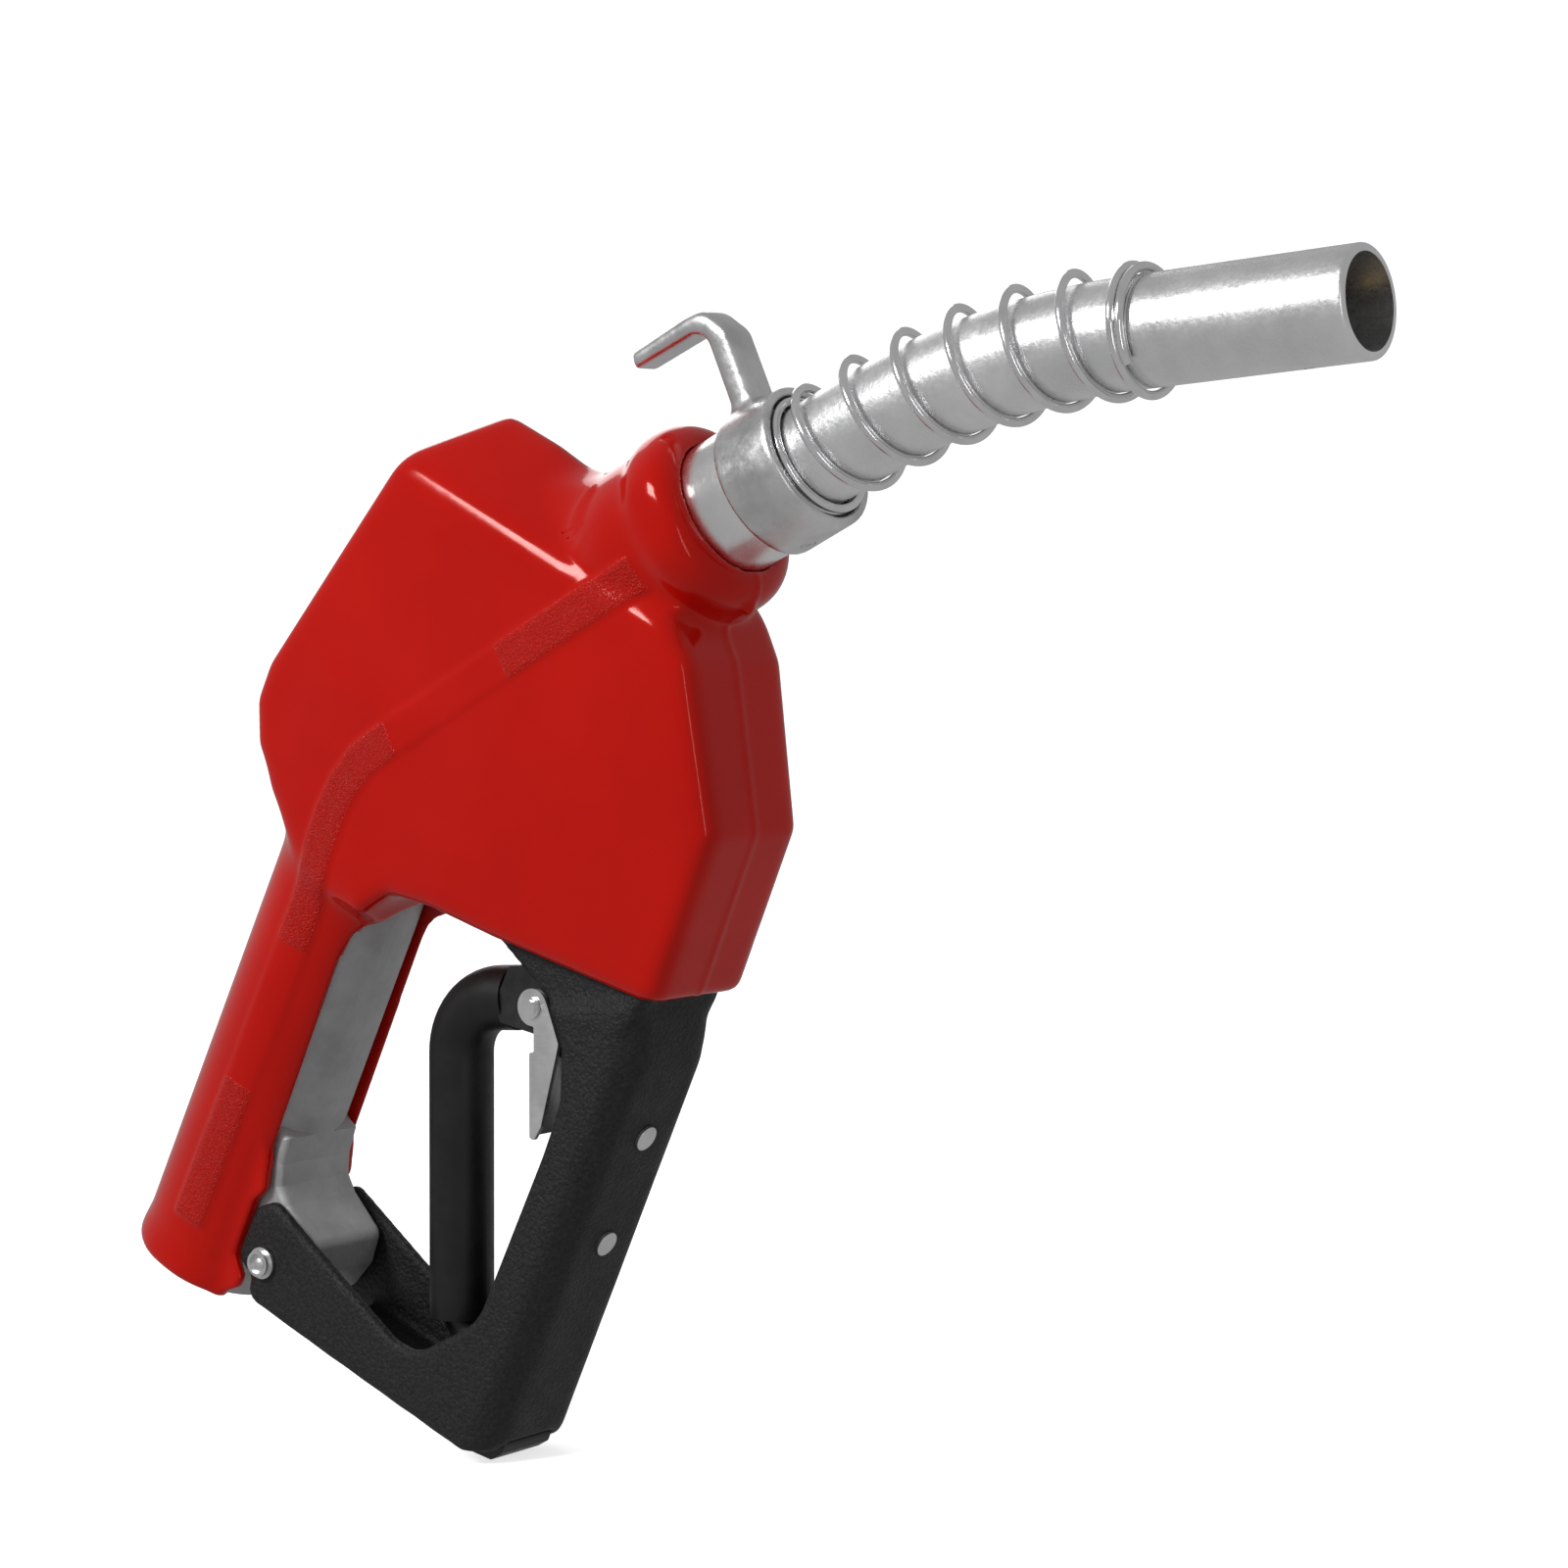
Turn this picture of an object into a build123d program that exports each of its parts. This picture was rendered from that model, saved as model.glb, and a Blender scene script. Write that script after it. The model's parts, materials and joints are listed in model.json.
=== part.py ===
from build123d import *
import os
from math import cos, sin, radians, pi, sqrt

os.makedirs("parts", exist_ok=True)

# Automatic fuel nozzle, millimetres.
# Everything is drawn with the handle standing upright: z runs up the handle and x points
# forward to the spout.  On export the nozzle is dropped by INLET_Z, so that the centre of the
# hose inlet face is the origin, and tipped by TILT so that the end of the spout is level.

# ---- driving dimensions ----
TILT = 30.75            # handle lean, degrees from vertical

SPOUT_R = 11.9          # spout tube, 15/16 inch outside diameter
SPOUT_WALL = 1.8
NECK_POINT = (82.1, 268.0)   # point on the neck axis
NECK_ANGLE = 51.25      # neck axis above x
END_ANGLE = 30.75       # straight spout end above x
BEND_R = 200.0
BEND_START = 10.4       # distance from NECK_POINT to the start of the bend
END_LEN = 55.0

BUSHING_R = 15.7
COLLAR_R = 17.2
COLLAR_BACK, COLLAR_FRONT = -19.0, -3.0
LIP_PLANE = -33.5       # where the spout bushing leaves the cover

SPRING_WIRE = 2.0
SPRING_COIL_R = 13.35

HANDLE_CORE_R = 17.2
HANDLE_LOW_R, HANDLE_HIGH_R = 21.0, 19.6
CROWN_Z = 235.0         # top of the body behind the neck
INLET_Z = 5.0           # height of the hose inlet face in the drawing frame
SKIN = 2.6              # cover thickness
BLOCK_HALF = 22.0       # half width of the valve block
FRONT_HALF = 17.4       # half width of the body at its front edge

INLET_R = 13.3          # 3/4 inch pipe thread
BORE_R = 11.0

GUARD_HALF = 16.0
GUARD_WALL = 3.0
TONGUE_HALF = 14.4      # guard plates where they run up under the cover

VALVE_X = 121.0         # level distance of the main valve axis
SEAT_Z = 160.0          # level height of the main valve seat
LEVER_TOP = 76.6        # level height of the lever where the valve stem rests
STEM_R = 3.0

PIVOT = (94.0, 117.0)   # lever pivot on the trip stem
TRIP_LEAN = -8.0
GRIP_R = 7.75           # lever sleeve
ROD_R = 4.6             # lever rod inside the sleeve

# ---- frames ----
c, s = cos(radians(TILT)), sin(radians(TILT))
neck_x, neck_z = cos(radians(NECK_ANGLE)), sin(radians(NECK_ANGLE))
end_x, end_z = cos(radians(END_ANGLE)), sin(radians(END_ANGLE))


def on_neck(part, along=0.0):
    """Move a part drawn on the z axis onto the neck axis."""
    x = NECK_POINT[0] + neck_x * along
    z = NECK_POINT[1] + neck_z * along
    return Pos(x, 0, z) * Rot(0, 90 - NECK_ANGLE, 0) * part


def on_valve(part, height):
    """Move a part drawn on the z axis onto the main valve axis at a level height."""
    x = VALVE_X * c - height * s
    z = VALVE_X * s + height * c
    return Pos(x, 0, z) * Rot(0, -TILT, 0) * part


def on_trip(part, along=0.0):
    """Move a part drawn on the z axis onto the trip stem axis, measured from the pivot."""
    x = PIVOT[0] + sin(radians(TRIP_LEAN)) * along
    z = PIVOT[1] + cos(radians(TRIP_LEAN)) * along
    return Pos(x, 0, z) * Rot(0, TRIP_LEAN, 0) * part


def rod(radius, low, high):
    return Pos(0, 0, low) * Cylinder(radius, high - low, align=(Align.CENTER, Align.CENTER, Align.MIN))


def tube(outer, inner, low, high):
    return rod(outer, low, high) - rod(inner, low - 1, high + 1)


def cone(low_r, high_r, low, high):
    return Pos(0, 0, low) * Cone(low_r, high_r, high - low, align=(Align.CENTER, Align.CENTER, Align.MIN))


def slab(points, half, round_r=0):
    """Plate drawn as an x-z outline, the same thickness either side of the middle."""
    face = make_face(Polyline(*points, close=True))
    if round_r:
        face = fillet(face.vertices(), round_r)
    return extrude(Plane.XZ * face, half, both=True)


def side_plates(part, inner):
    """Cut the middle out of a plate, leaving its two sides."""
    return part - Box(400, 2 * inner, 600)


def cross_pin(x, z, radius, half):
    return Pos(x, 0, z) * Rot(90, 0, 0) * Cylinder(radius, 2 * half)


def ring_of(part, count, first):
    """Copies of a part spaced evenly round the z axis."""
    copies = [Rot(0, 0, first + 360 / count * i) * part for i in range(count)]
    return sum(copies[1:], copies[0])


def export(part, name):
    export_step(Rot(0, TILT, 0) * Pos(0, 0, -INLET_Z) * part, f"parts/{name}.step")


# ---- outlines ----
BODY_OUTLINE = [(19, 118), (26, 126), (38, 129.2), (56, 131.3), (100, 138.6), (103.6, 141),
                (101.6, 182), (80, 214), (70, 222), (42, 222), (27, 233.5), (12, 235),
                (-4, 235), (-14, 222), (-32, 158), (-32, 148), (-27, 138), (-18, 131)]


def body_form(inset):
    """The body behind the neck: valve block, front and underside, drawn in from the cover skin."""
    face = make_face(Polyline(*BODY_OUTLINE, close=True))
    if inset:
        face = offset(face, -inset, kind=Kind.INTERSECTION)
    side = extrude(Plane.XZ * face, 30, both=True)
    back, front = BLOCK_HALF - inset, FRONT_HALF - inset
    rear = -32 + inset
    plan = make_face(Polyline((rear, -back), (40, -back), (103.6 - inset, -front),
                              (103.6 - inset, front), (40, back), (rear, back), close=True))
    ends = plan.vertices().group_by(Axis.X)
    plan = fillet(ends[0], 9 - inset)
    plan = fillet(plan.vertices().group_by(Axis.X)[-1], 6.5 - inset)
    # the rear wall leans forward above the heel and the front wall back above the knee
    rounded = Rectangle(200, 2 * back)
    rounded = fillet(rounded.vertices().group_by(Axis.X)[0], 9 - inset)
    leaning = Pos(-32, 0, 158) * Rot(0, 16.1, 0) * Pos(inset + 100, 0, -60) * extrude(rounded, 150)
    nose = make_face(Polyline((0, -front - 1.2), (-60, -40), (-200, -40), (-200, 40), (-60, 40),
                              (0, front + 1.2), close=True))
    nose = fillet(nose.vertices().group_by(Axis.X)[-1], 6.5 - inset)
    leaning &= Pos(101.6, 0, 182) * Rot(0, -34, 0) * Pos(-inset, 0, -160) * extrude(nose, 300)
    crown = CROWN_Z - inset
    section = make_face(Polyline((-back, crown - 15.5), (-back, 90), (back, 90), (back, crown - 15.5),
                                 (12, crown - 6), (3, crown), (-3, crown), (-12, crown - 6), close=True))
    form = side & (Pos(0, 0, 90) * extrude(plan, 150)) & leaning
    return form & extrude(Plane.YZ * section, 150, both=True)


def neck_form(inset):
    return on_neck(rod(21.0 - inset, -92, LIP_PLANE - 2))


def handle_form(inset):
    if inset:
        return rod(HANDLE_CORE_R, INLET_Z, 165)
    return cone(HANDLE_LOW_R, HANDLE_HIGH_R, INLET_Z + 0.5, 150)


# ---- body ----
LUG_OUTLINE = [(10, 16), (24, 14.5), (33, 14.5), (36, 24), (35, 32.5), (23.5, 37), (19.5, 40), (17.6, 45),
               (16.9, 52), (10, 54)]
TONGUE_OUTLINE = [(44, 100), (104, 100), (104, 157), (44, 157)]
HEAD_POCKET = [(40, 100), (110, 100), (110, 146), (50, 146), (40, 132)]


def guard_lug():
    """Rounded lug at the foot of the handle, running up into the palm side."""
    face = make_face(Polyline(*LUG_OUTLINE, close=True))
    face = fillet([v for v in face.vertices() if v.X > 32], 3.0)
    lug = extrude(Plane.XZ * face, 12.8, both=True)
    rims = lug.edges().filter_by(lambda e: abs(abs(e.center().Y) - 12.8) < 0.01 and e.center().X > 11)
    return fillet(rims, 2.0)


def body_casting():
    """One aluminium casting: handle, valve block, neck and the lug that carries the guard."""
    block = body_form(SKIN)
    part = block + neck_form(SKIN) + handle_form(SKIN) + guard_lug()
    part -= side_plates(slab(TONGUE_OUTLINE, 30), TONGUE_HALF - 2.8)
    part -= slab(HEAD_POCKET, 9.6)
    # hose thread, handle bore and the riser into the top of the valve chamber
    part -= rod(INLET_R, 0, 22) + rod(13.8, 21.9, 22.8) + rod(12.2, 20, 24) + rod(BORE_R, 20, 150)
    part -= Pos(-6, 0, 140) * Rot(0, 8, 0) * rod(8.5, 0, 62)
    # main valve: upper chamber and cap seat, seat bore, lower chamber, stem guide, gland
    part -= on_valve(rod(16.5, SEAT_Z, 230) + rod(11.5, SEAT_Z - 10, 175) + rod(12.0, 116, 152), 0)
    part -= on_valve(rod(STEM_R + 0.06, 60, 130) + rod(6.5, 60, 104), 0)
    # fuel passage to the neck and the socket for the spout bushing
    part -= on_valve(Pos(0, 0, 126) * Rot(0, 36.4, 0) * rod(7.0, 0, 50), 0)
    part -= on_neck(rod(14.5, -62, -30) + rod(BUSHING_R, -44.7, -30))
    # shut-off: diaphragm chamber, latch bore, trip stem bore and vacuum drilling
    part -= on_trip(rod(12.05, 50, 74) + rod(5.05, 10, 51))
    part -= on_neck(Pos(6, 0, 0) * Rot(0, 22, 0) * rod(1.2, -72, -52))
    part -= cross_pin(25, 22, 3.2, 20) + cross_pin(62, 151, 2.6, 20)
    return part


def neck_skin():
    """Neck of the cover, ending in a thick rounded lip."""
    outline = make_face(Polyline((21.2, -92), (21.2, -44), (22.9, -39), (22.9, -29.2),
                                 (14.5, -29.2), (14.5, -92), close=True))
    rounded = [v for v in outline.vertices() if v.Y > -30]
    outline = fillet(rounded, 3.9)
    return on_neck(revolve(Plane.XZ * outline, Axis.Z))


def grip_cover():
    """Vinyl cover pulled over the casting, open over the palm side of the handle and below."""
    shell = body_form(0) + handle_form(0) + neck_skin()
    part = shell - (body_form(SKIN) + handle_form(SKIN) + neck_form(SKIN))
    part -= on_neck(rod(BUSHING_R, -45, -20))
    # palm strip, then the open underside around the guard plates and lever head
    part -= slab([(8, -5), (40, -5), (40, 118), (8, 118)], 13.2)
    part -= slab([(8, 110), (40, 110), (34, 122), (28, 125), (8, 125)], 8.5)
    part -= slab([(15.5, -5), (40, -5), (40, 38), (21, 38), (16, 33)], 16.4)
    part -= slab([(44, 100), (101, 100), (101, 157), (50, 157), (44, 140)], TONGUE_HALF)
    return part


# ---- hose inlet ----
def inlet_screen():
    """Wire-mesh strainer: a ring with two layers of cross wires."""
    part = tube(12.2, BORE_R - 1.2, 22.8, 24.0)
    for i in range(-3, 4):
        width = 2 * sqrt((BORE_R - 0.6) ** 2 - (2.8 * i) ** 2)
        part += Pos(2.8 * i, 0, 23.5) * Box(0.8, width, 0.8)
        part += Pos(0, 2.8 * i, 23.0) * Box(width, 0.8, 0.8)
    return part


# ---- main valve, drawn on its own upright axis at level heights ----


def main_seat():
    return on_valve(tube(11.5, 8.5, SEAT_Z - 10, SEAT_Z) + tube(16.5, 8.5, SEAT_Z, SEAT_Z + 1.5)
                    - tube(20, 10.0, SEAT_Z + 0.7, SEAT_Z + 3), 0)


def main_poppet():
    top = SEAT_Z + 1.5
    return on_valve(rod(12.0, top + 1.0, top + 4.0) + tube(7.0, STEM_R, top + 1.0, top + 5.5)
                    - rod(STEM_R, top - 2, top + 20), 0)


def poppet_seal():
    top = SEAT_Z + 1.5
    return on_valve(tube(12.0, STEM_R, top + 0.02, top + 1.0), 0)


def main_stem():
    foot = LEVER_TOP + 0.1
    part = rod(STEM_R, foot + 1.5, SEAT_Z + 7.0) + Pos(0, 0, foot + STEM_R) * Sphere(STEM_R)
    return on_valve(part - Pos(0, 0, foot - 5) * Box(20, 20, 10), 0)


def main_spring():
    """Conical return spring between the poppet and the cap."""
    low, high = SEAT_Z + 5.6, SEAT_Z + 18.35
    coil = Helix(2.8, high - low - 1.6, 8.6)
    wire = sweep(Plane(coil @ 0, z_dir=coil % 0) * Circle(0.7), path=coil)
    return on_valve(Pos(0, 0, low + 0.8) * wire, 0)


def valve_cap():
    part = rod(16.45, SEAT_Z + 18.4, SEAT_Z + 22.4)
    part -= rod(6.0, SEAT_Z + 20.4, SEAT_Z + 30.0)
    part -= tube(20.0, 15.0, SEAT_Z + 19.4, SEAT_Z + 21.0)
    return on_valve(part, 0)


def cap_ring():
    return on_valve(tube(16.45, 15.0, SEAT_Z + 19.4, SEAT_Z + 21.0), 0)


def stem_packing():
    return on_valve(tube(6.4, STEM_R + 0.05, 101.0, 104.0), 0)


def gland_nut():
    hexagon = extrude(RegularPolygon(5.4, 6), 3.0)
    part = Pos(0, 0, 93.5) * hexagon + rod(6.45, 96.5, 101.0)
    return on_valve(part - rod(STEM_R + 0.1, 80, 120), 0)


# ---- automatic shut-off, drawn on the trip stem axis ----
def trip_stem():
    """Plunger that carries the lever pivot and is held up by the latch balls."""
    part = rod(5.0, 17.5, 47.0) - rod(3.0, 38.0, 50.0)
    for i in range(3):
        part -= Rot(0, 0, 60 + 120 * i) * Pos(3.95, 0, 43.0) * Sphere(1.02)
    eye = Rot(90, 0, 0) * Cylinder(5.2, 6.0)
    part += eye + Box(8.0, 6.0, 24.0, align=(Align.CENTER, Align.CENTER, Align.MIN))
    return on_trip(part - Rot(90, 0, 0) * Cylinder(2.5, 20), 0)


def latch_pin():
    part = rod(2.9, 39.5, 52.0) - tube(4.0, 2.3, 40.0, 41.5) + rod(6.0, 52.0, 53.5)
    return on_trip(part + rod(1.8, 53.5, 59.0), 0)


def latch_balls():
    ball = Pos(3.95, 0, 43.0) * Sphere(1.0)
    return on_trip(ring_of(ball, 3, 60), 0)


def diaphragm():
    return on_trip(tube(12.0, 1.9, 55.6, 56.6) + tube(9.6, 8.4, 54.8, 56.0), 0)


def diaphragm_plate():
    return on_trip(tube(7.0, 1.85, 56.65, 57.6), 0)


def diaphragm_spring():
    coil = Helix(1.6, 5.2, 4.4)
    wire = sweep(Plane(coil @ 0, z_dir=coil % 0) * Circle(0.45), path=coil)
    return on_trip(Pos(0, 0, 58.3) * wire, 0)


def diaphragm_cap():
    part = rod(12.0, 56.65, 66.0) - rod(9.0, 50.0, 64.4)
    part -= ring_of(Pos(10.5, 0, 0) * rod(0.75, 50, 80), 4, 45)
    return on_trip(part, 0)


def cap_screws():
    screw = Pos(10.5, 0, 0) * (rod(0.75, 57.5, 66.1) + rod(1.4, 66.02, 67.2))
    return on_trip(ring_of(screw, 4, 45), 0)


def trip_pin():
    return on_trip(Rot(90, 0, 0) * (Cylinder(2.45, 13.6) + Pos(0, 0, 6.6) * Cylinder(3.6, 1.2)
                                    + Pos(0, 0, -6.6) * Cylinder(3.6, 1.2)), 0)


# ---- lever ----
CLIP_RIVET = (67.4, 118.0)
GRIP_TOP = (41.4, 104.7)
GRIP_END = (74.4, 35.4)
ROD_TIP = (90.0, 28.8)


def sweep_round(path, radius):
    return sweep(Plane(path @ 0, z_dir=path % 0) * Circle(radius), path=path)


def lever_rod_solid():
    path = FilletPolyline((66, 0, 118.9), (GRIP_TOP[0], 0, GRIP_TOP[1]), (GRIP_END[0], 0, GRIP_END[1]),
                          (ROD_TIP[0], 0, ROD_TIP[1]), radius=(14, 6))
    rod_end = path @ 1
    part = sweep_round(path, ROD_R)
    end_face = part.faces().sort_by_distance(rod_end)[0]
    return fillet(end_face.edges(), 3.0)


def lever():
    """Steel lever: flat head with the pivot fork, bent rod and tail."""
    head = slab([(56, 113.2), (59, 109), (70, 112), (86, 110), (94.6, 109.5), (98.3, 113.5), (98, 122),
                 (90, 125.5), (80, 125.5), (64.4, 127.9), (56, 122.6)], 6.0, 1.2)
    head += slab([(56, 113.2), (59, 109), (70, 112), (84, 110.3), (84, 125.5), (80, 125.5), (64.4, 127.9),
                  (56, 122.6)], 7.0, 1.2)
    level = on_valve(Pos(0, 0, LEVER_TOP + 10) * Box(80, 30, 20), 0)
    part = head - level + lever_rod_solid()
    part -= Pos(PIVOT[0], 0, PIVOT[1]) * Box(24, 6.6, 40)
    return part - cross_pin(*PIVOT, 2.5, 20) - cross_pin(*CLIP_RIVET, 1.9, 20)


def lever_sleeve():
    """Soft sleeve over the lever from the head to the tail."""
    path = FilletPolyline((57, 0, 113.7), (GRIP_TOP[0], 0, GRIP_TOP[1]), (GRIP_END[0], 0, GRIP_END[1]),
                          radius=14)
    return sweep_round(path, GRIP_R) - lever()


# ---- hold-open clip ----
CLIP_OUTLINE = [(66.5, 121.8), (70.5, 121.2), (77.9, 114.2), (78.4, 112.0), (81.7, 94.0), (81.2, 90.0),
                (79.8, 90.0), (71.2, 107.9), (72.3, 108.8), (69.8, 114.0), (66.2, 114.6)]


def hold_clip():
    """Stamped clip: two cheeks on the lever head, joined by a turned edge at the tip."""
    cheeks = slab(CLIP_OUTLINE, 8.6, 0.5) + cross_pin(*CLIP_RIVET, 4.4, 8.6)
    part = side_plates(cheeks, 7.4)
    turned = slab([(71.9, 107.6), (73.0, 108.1), (81.0, 91.3), (79.9, 90.8)], 8.6)
    return part + turned - cross_pin(*CLIP_RIVET, 1.95, 20)


def clip_rivet():
    """Rivet through both cheeks of the clip and the lever head."""
    x, z = CLIP_RIVET
    shank = Rot(90, 0, 0) * Cylinder(1.85, 17.6)
    head = Rot(90, 0, 0) * (rod(2.5, 8.7, 9.5) + rod(1.9, 9.5, 10.1))
    return Pos(x, 0, z) * (shank + head + Rot(0, 0, 180) * head)


# ---- guard ----
GUARD_OUTLINE = [(25.5, 10.8), (50, 12.2), (98, 15.3), (103.6, 17.4), (105.8, 21), (105.0, 40), (103.4, 122),
                 (100.4, 128.5), (100.4, 136), (96, 135.5), (76.5, 124.0), (83.3, 117.2), (88.0, 106.0),
                 (89.2, 92), (89, 42), (84, 33), (76, 29), (68, 28.6), (50, 31.6), (21.5, 36.8),
                 (17, 31.5), (16.4, 20), (18, 17.6), (22.3, 16.2), (23, 12.5)]
FLARE_OUTLINE = [(53.8, 130.5), (76.5, 124.3), (96, 130), (100.4, 136), (100.4, 156), (54, 156)]
GUARD_SCREW = (25.0, 22.0)
GUARD_BOLT = (62.0, 151.0)
RIVET_HEIGHTS = (103.4, 74.9)


def front_face(z):
    """x of the outside of the guard's front web at a height."""
    return 105.0 - (z - 40) * 1.6 / 82


def guard():
    """Moulded channel: two side plates joined along the front and under the lever."""
    part = slab(GUARD_OUTLINE, GUARD_HALF)
    long_edges = part.edges().filter_by(lambda e: e.center().X > 100 and abs(e.center().Y) > 15
                                        and 20 < e.center().Z < 128)
    part = fillet(long_edges, 2.9)
    inside = GUARD_HALF - GUARD_WALL
    part -= slab([(0, 0), (40, 0), (40, 14.8), (80, 17.2), (80, 0), (101.0, 0), (101.0, 18.5),
                  (102.0, 30), (100.4, 120), (97.9, 127), (97.9, 160), (0, 160)], inside)
    # the front web stops short of the bottom, where the rubber pad fills the corner
    part -= slab([(99, 10), (110, 10), (110, 20.4), (99, 20.4)], 8.6)
    flare = side_plates(slab(FLARE_OUTLINE, TONGUE_HALF), TONGUE_HALF - 2.6)
    wedge = side_plates(slab([(74, 122), (88, 119), (97.9, 126), (97.9, 136), (76.5, 128)], inside + 0.5),
                        TONGUE_HALF - 2.6)
    part += flare + wedge
    part -= cross_pin(*GUARD_SCREW, 2.6, 30) + cross_pin(*GUARD_BOLT, 2.55, 30)
    for z in RIVET_HEIGHTS:
        part -= Pos(95, 0, z) * Rot(0, 90, 0) * rod(1.85, 0, 20)
    return part


def guard_screws():
    """Screw and washer on each side of the lug."""
    x, z = GUARD_SCREW
    screw = rod(2.5, -8, 3.2) + rod(3.9, 3.2, 4.0) + rod(3.2, 4.0, 5.4) - rod(2.5, 4.5, 6)
    screw += Pos(0, 0, 4.4) * scale(Sphere(1.7), (1, 1, 0.6))
    screw = Pos(x, 0, z) * Rot(90, 0, 0) * Pos(0, 0, 12.8) * screw
    return screw + Rot(0, 0, 180) * Pos(-2 * x, 0, 0) * screw


def guard_bolt():
    """Cross bolt holding the upper ends of the guard plates to the casting, under the cover."""
    return cross_pin(*GUARD_BOLT, 2.5, TONGUE_HALF - 0.1)


def hold_rack():
    """Notched plate the clip catches on, with a foot riveted behind the front web."""
    edge = [(99.8, 68), (99.8, 101.5), (90, 102.4), (87.0, 99.5), (90.0, 96.5), (87.0, 93.0),
            (90.0, 90), (87.0, 86.5), (90.0, 83.5), (94.0, 78), (94.0, 68)]
    foot = slab([(99.5, 66), (101.25, 66), (100.58, 106.5), (99.6, 106.5)], 8)
    part = slab(edge, 1.5) + foot
    for z in RIVET_HEIGHTS:
        part -= Pos(90, 0, z) * Rot(0, 90, 0) * rod(1.85, 5, 20)
    return part


def rack_rivets():
    rivets = []
    for z in RIVET_HEIGHTS:
        face = front_face(z)
        rivet = rod(1.8, -4.4, 0.2) + rod(3.1, 0.07, 0.8) + Pos(0, 0, 0.8) * scale(Sphere(3.1), (1, 1, 0.2))
        rivets.append(Pos(face, 0, z) * Rot(0, 90, 0) * rivet)
    return rivets[0] + rivets[1]


def guard_bumper():
    """Rubber pad in the corner of the guard under the lever tail."""
    return slab([(88, 13.6), (96.5, 12.8), (102.6, 14.4), (104.8, 17.6), (104.8, 20.3), (97, 19.6),
                 (88, 16.8)], 8.5, 1.1)


# ---- spout ----
def spout_path(drop=0.0, start=-52.0, short=0.0):
    """Middle line of the spout, or a line beside it nearer the inside of the bend."""
    x0, z0 = NECK_POINT[0] + neck_z * drop, NECK_POINT[1] - neck_x * drop
    a = (x0 + neck_x * start, 0, z0 + neck_z * start)
    b = (x0 + neck_x * BEND_START, 0, z0 + neck_z * BEND_START)
    turn = radians(NECK_ANGLE - END_ANGLE)
    r = BEND_R - drop
    side = r * (1 - cos(turn))
    d = (b[0] + neck_x * r * sin(turn) + neck_z * side, 0, b[2] + neck_z * r * sin(turn) - neck_x * side)
    reach = END_LEN - short
    e = (d[0] + end_x * reach, 0, d[2] + end_z * reach)
    return Line(a, b) + TangentArc(b, d, tangent=(neck_x, 0, neck_z)) + Line(d, e)


def spout_tube():
    path = spout_path()
    part = sweep_round(path, SPOUT_R)
    rim = part.edges().group_by(Axis.X)[-1]
    part = fillet(rim, 0.8)
    longer = spout_path(short=-5.0)
    part -= sweep_round(longer, SPOUT_R - SPOUT_WALL)
    tip = path @ 1
    port = Pos(tip.X - 14.5 * end_x, 0, tip.Z - 14.5 * end_z) * Rot(0, 90 - END_ANGLE, 0)
    part -= port * Pos(SPOUT_R, 0, 0) * Cylinder(1.2, 6, rotation=(0, 90, 0))
    # shallow groove that stops the last turn of the spring
    stop = tube(SPOUT_R + 2, SPOUT_R - 0.25, 0, 1.2)
    back = END_LEN - 5.1
    part -= Pos(tip.X - back * end_x, 0, tip.Z - back * end_z) * Rot(0, 90 - END_ANGLE, 0) * stop
    return part - on_neck(Pos(0, 0, -46) * Rot(90, 0, 0) * Cylinder(1.6, 60), 0)


def spout_bushing():
    part = rod(BUSHING_R, -43.9, COLLAR_BACK) + rod(14.4, -61.9, -43.9)
    part -= rod(SPOUT_R, -52, 0) + rod(8.0, -70, -50)
    return on_neck(part - Pos(0, 0, -46) * Rot(90, 0, 0) * Cylinder(1.6, 60))


def bushing_pin():
    """Cross pin locking the spout tube in its bushing."""
    pins = [Pos(0, side * 12.3, -46) * Rot(90, 0, 0) * Cylinder(1.58, 4.0) for side in (-1, 1)]
    return on_neck(pins[0] + pins[1])


def bushing_ring():
    return on_neck(tube(15.6, 14.45, -44.65, -43.95))


def hook_collar():
    """Ring and hook cast in one piece, with a recess for the end of the spring."""
    ring = cone(COLLAR_R, COLLAR_R - 0.2, COLLAR_BACK, COLLAR_FRONT)
    ring = fillet(ring.edges().filter_by(GeomType.CIRCLE), 0.5)
    hook = make_face(Polyline((-12, -17.6), (-12, -10.8), (-34.5, -10.4), (-42, -15), (-42.6, -20.5),
                              (-42.3, -37.5), (-38.6, -38.4), (-38.2, -20.5), (-36.0, -17.0), close=True))
    hook = fillet([v for v in hook.vertices() if v.X < -33 and -36 < v.Y < -16.5], 3.0)
    hook = fillet([v for v in hook.vertices() if v.X < -33 and v.Y > -15.5 and v.X < -34.4], 4.0)
    hook = fillet([v for v in hook.vertices() if v.Y < -37.4], 1.2)
    arm = extrude(Plane.XZ * hook, 5.0, both=True)
    part = ring + arm
    part -= rod(SPOUT_R, -30, 0) + rod(SPRING_COIL_R + 1.4, -9.5, 0)
    return on_neck(part - Pos(15, 0, -14) * Rot(0, 90, 0) * Cylinder(1.6, 10))


def collar_screw():
    return on_neck(Pos(14.4, 0, -14) * Rot(0, 90, 0) * (Cylinder(1.55, 4.8) - Pos(0, 0, 2.2)
                                                        * extrude(RegularPolygon(0.9, 6), 2)))


def coil_opened(turn, turns):
    """0 where the turns of the spout spring lie close together, 1 where they are open."""
    opened = min(max((turn - 1.98) / 0.7, 0), 1, max((turns - turn - 0.95) / 0.7, 0))
    return opened * opened * (3 - 2 * opened)


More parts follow.
